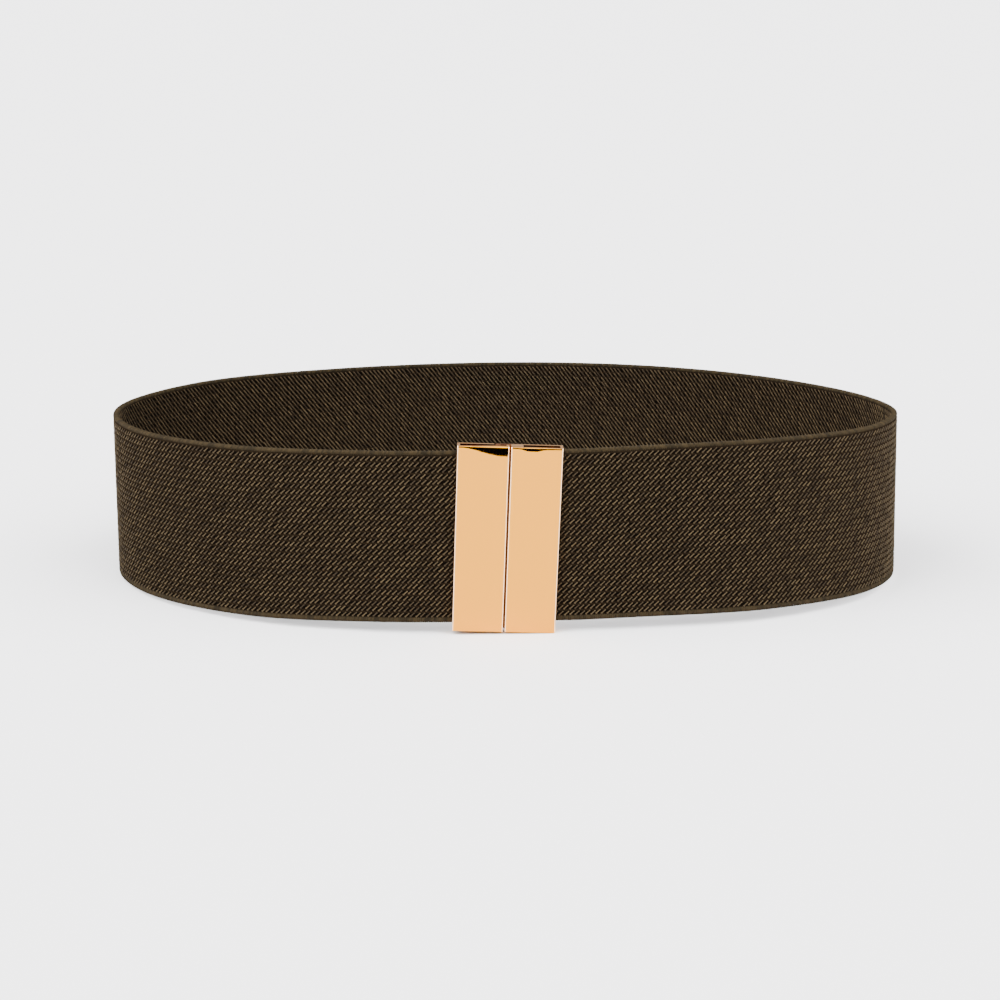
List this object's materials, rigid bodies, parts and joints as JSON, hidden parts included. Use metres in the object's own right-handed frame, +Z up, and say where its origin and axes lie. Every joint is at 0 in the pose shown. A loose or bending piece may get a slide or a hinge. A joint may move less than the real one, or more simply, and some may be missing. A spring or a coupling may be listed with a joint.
{
  "type": "elastic stretch belt",
  "caption": "Wide woven elastic stretch belt, fastened by a slim hook-and-catch clasp of polished folded plates and standing on its lower edge as an open rounded loop.",
  "frame": {"origin": "floor level, under the centre of the belt's bounding box", "axes": "+X to the right of someone who faces the clasp, -Y out of the clasp's front face, +Z up across the webbing"},
  "size_m": [0.2858, 0.1488, 0.066],
  "materials": {
    "webbing": "woven elastic webbing, dark olive-brown ground with khaki yarn dashes",
    "clasp_metal": "folded strip, polished and plated rose gold"
  },
  "bodies": {
    "root": {"elastic_band": "webbing", "clasp_catch_half": "clasp_metal", "clasp_hook_half": "clasp_metal"}
  },
  "joints": []
}
